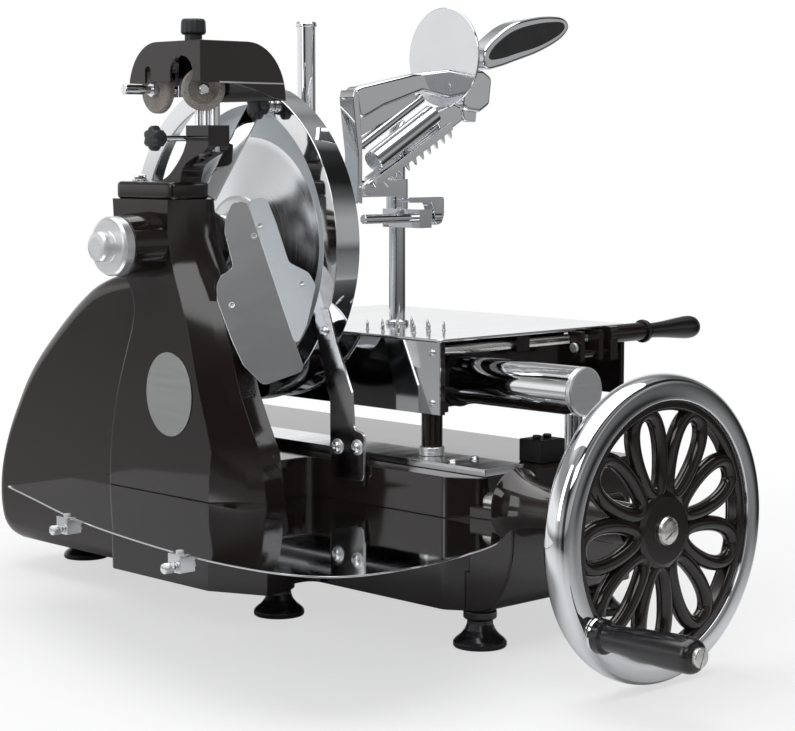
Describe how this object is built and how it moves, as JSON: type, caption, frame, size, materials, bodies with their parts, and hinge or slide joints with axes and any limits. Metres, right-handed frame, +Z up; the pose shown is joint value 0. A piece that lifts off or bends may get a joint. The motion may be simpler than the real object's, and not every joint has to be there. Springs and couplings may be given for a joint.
{
  "type": "hand crank meat slicer",
  "caption": "Flywheel meat slicer: a crank wheel turns a dished round blade through bevel gears and a chain; a sliding carriage feeds the table and its press past it.",
  "frame": {"origin": "on the table top that the feet stand on, under the middle of the bounding box", "axes": "+X along the blade axis from the column towards the meat table, +Y away from the flywheel, +Z up"},
  "size_m": [0.7682, 1.0486, 0.649],
  "materials": {
    "paint": "gloss",
    "chrome": "mirror",
    "steel": "polished",
    "aluminium": "satin",
    "iron": "machined",
    "brass": "satin",
    "black_plastic": "gloss",
    "stone": "rough"
  },
  "bodies": {
    "frame": {"base_casting": "paint", "column_casting": "paint", "neck_arm": "paint", "feet": "paint", "badge_plate": "steel", "bearing_cap": "aluminium", "blade_bearings": "iron", "drive_chain": "iron", "wheel_bushes": "brass", "guard_ring": "chrome", "guard_strap": "steel", "guard_stay": "steel", "deflector_plates": "steel", "slide_tube": "chrome", "tube_supports": "paint", "guide_rail": "steel", "stop_block": "steel", "slice_tray": "steel", "tray_arms": "steel", "frame_screws": "steel"},
    "flywheel": {"wheel_rim": "chrome", "wheel_spider": "paint", "hub_screw": "steel", "crank_pin": "steel", "wheel_shaft": "steel", "drive_gear": "iron"},
    "crank_handle": {"crank_grip": "black_plastic"},
    "cross_drive": {"cross_shaft": "steel", "cross_gear": "iron", "cross_sprocket": "iron"},
    "blade_unit": {"blade": "steel", "blade_hub": "aluminium", "blade_shaft": "steel", "hub_screws": "steel", "blade_sprocket": "iron"},
    "carriage": {"carriage_body": "paint", "carriage_bushes": "brass", "carriage_panel": "steel", "guide_roller": "steel"},
    "feed_screw": {"feed_screw": "steel"},
    "table": {"meat_table": "steel", "table_spikes": "steel", "table_posts": "chrome"},
    "feed_lever": {"feed_lever": "paint"},
    "feed_handle": {"feed_grip": "black_plastic"},
    "press_slide": {"press_slider": "chrome"},
    "clamp_lever": {"clamp_lever": "chrome"},
    "press_arm": {"press_arm": "chrome", "gripper": "chrome", "press_handle": "chrome", "hand_guard": "chrome"},
    "sharpener": {"sharpener_hood": "paint", "sharpener_rods": "steel"},
    "grinding_stone": {"grinding_stone": "stone"},
    "honing_stone": {"honing_stone": "stone"},
    "top_knob": {"top_knob": "black_plastic"},
    "lock_knob": {"lock_knob": "black_plastic"},
    "guard_knob": {"guard_knob": "black_plastic"},
    "tray_screw_rear": {"tray_screw_rear": "steel"},
    "tray_screw_front": {"tray_screw_front": "steel"}
  },
  "joints": [
    {"name": "flywheel_spin", "type": "hinge", "parent": "frame", "child": "flywheel", "pos_m": [-0.02615, -0.4067, 0.147], "axis": [0, 1, 0], "continuous": true},
    {"name": "crank_grip_spin", "type": "hinge", "parent": "flywheel", "child": "crank_handle", "pos_m": [-0.12344, -0.4067, 0.06537], "axis": [0, 1, 0], "continuous": true},
    {"name": "cross_spin", "type": "hinge", "parent": "frame", "child": "cross_drive", "pos_m": [-0.02615, 0.1093, 0.147], "axis": [1, 0, 0], "continuous": true},
    {"name": "blade_spin", "type": "hinge", "parent": "frame", "child": "blade_unit", "pos_m": [-0.02615, 0.1793, 0.394], "axis": [1, 0, 0], "continuous": true},
    {"name": "carriage_travel", "type": "slide", "parent": "frame", "child": "carriage", "axis": [0, 1, 0], "range_m": [-0.1, 0.17]},
    {"name": "feed_turn", "type": "hinge", "parent": "carriage", "child": "feed_screw", "pos_m": [0.12385, -0.0767, 0.287], "axis": [1, 0, 0], "range_deg": [0, 3960]},
    {"name": "table_feed", "type": "slide", "parent": "carriage", "child": "table", "axis": [1, 0, 0], "range_m": [0, 0.11]},
    {"name": "feed_lever_tilt", "type": "hinge", "parent": "table", "child": "feed_lever", "pos_m": [0.19585, -0.1117, 0.274], "axis": [1, 0, 0], "range_deg": [0, 30]},
    {"name": "feed_grip_spin", "type": "hinge", "parent": "feed_lever", "child": "feed_handle", "pos_m": [0.28785, -0.1117, 0.293], "axis": [1, 0, 0], "continuous": true},
    {"name": "press_height", "type": "slide", "parent": "table", "child": "press_slide", "axis": [0, 0, 1], "range_m": [-0.09, 0.04]},
    {"name": "clamp_turn", "type": "hinge", "parent": "press_slide", "child": "clamp_lever", "pos_m": [0.06985, 0.0193, 0.421], "axis": [1, 0, 0], "range_deg": [0, 40]},
    {"name": "press_tilt", "type": "hinge", "parent": "press_slide", "child": "press_arm", "pos_m": [0.00385, 0.0443, 0.452], "axis": [0, 1, 0], "range_deg": [-12, 24]},
    {"name": "sharpener_lift", "type": "slide", "parent": "frame", "child": "sharpener", "axis": [0, 0, 1], "range_m": [-0.022, 0.012]},
    {"name": "grinding_stone_spin", "type": "hinge", "parent": "sharpener", "child": "grinding_stone", "pos_m": [-0.18615, 0.1413, 0.555], "axis": [1, 0, 0], "continuous": true},
    {"name": "honing_stone_spin", "type": "hinge", "parent": "sharpener", "child": "honing_stone", "pos_m": [-0.17815, 0.0783, 0.555], "axis": [-0.5, -0.866, 0], "continuous": true},
    {"name": "top_knob_turn", "type": "hinge", "parent": "sharpener", "child": "top_knob", "pos_m": [-0.16315, 0.1113, 0.603], "axis": [0, 0, 1], "range_deg": [-720, 720]},
    {"name": "lock_knob_turn", "type": "hinge", "parent": "frame", "child": "lock_knob", "pos_m": [-0.20015, 0.1153, 0.506], "axis": [1, 0, 0], "range_deg": [-720, 720]},
    {"name": "guard_knob_turn", "type": "hinge", "parent": "frame", "child": "guard_knob", "pos_m": [-0.07015, 0.1073, 0.54], "axis": [1, 0, 0], "range_deg": [-720, 720]},
    {"name": "tray_screw_rear_turn", "type": "hinge", "parent": "frame", "child": "tray_screw_rear", "pos_m": [-0.32115, 0.1113, 0.1194], "axis": [1, 0, 0], "range_deg": [-720, 720]},
    {"name": "tray_screw_front_turn", "type": "hinge", "parent": "frame", "child": "tray_screw_front", "pos_m": [-0.35815, -0.1177, 0.1194], "axis": [1, 0, 0], "range_deg": [-720, 720]}
  ],
  "couplings": [
    {"joint": "cross_spin", "follows": "flywheel_spin", "ratio": -1},
    {"joint": "blade_spin", "follows": "flywheel_spin", "ratio": -2},
    {"joint": "feed_turn", "follows": "table_feed", "rad_per_m": 628.32}
  ]
}
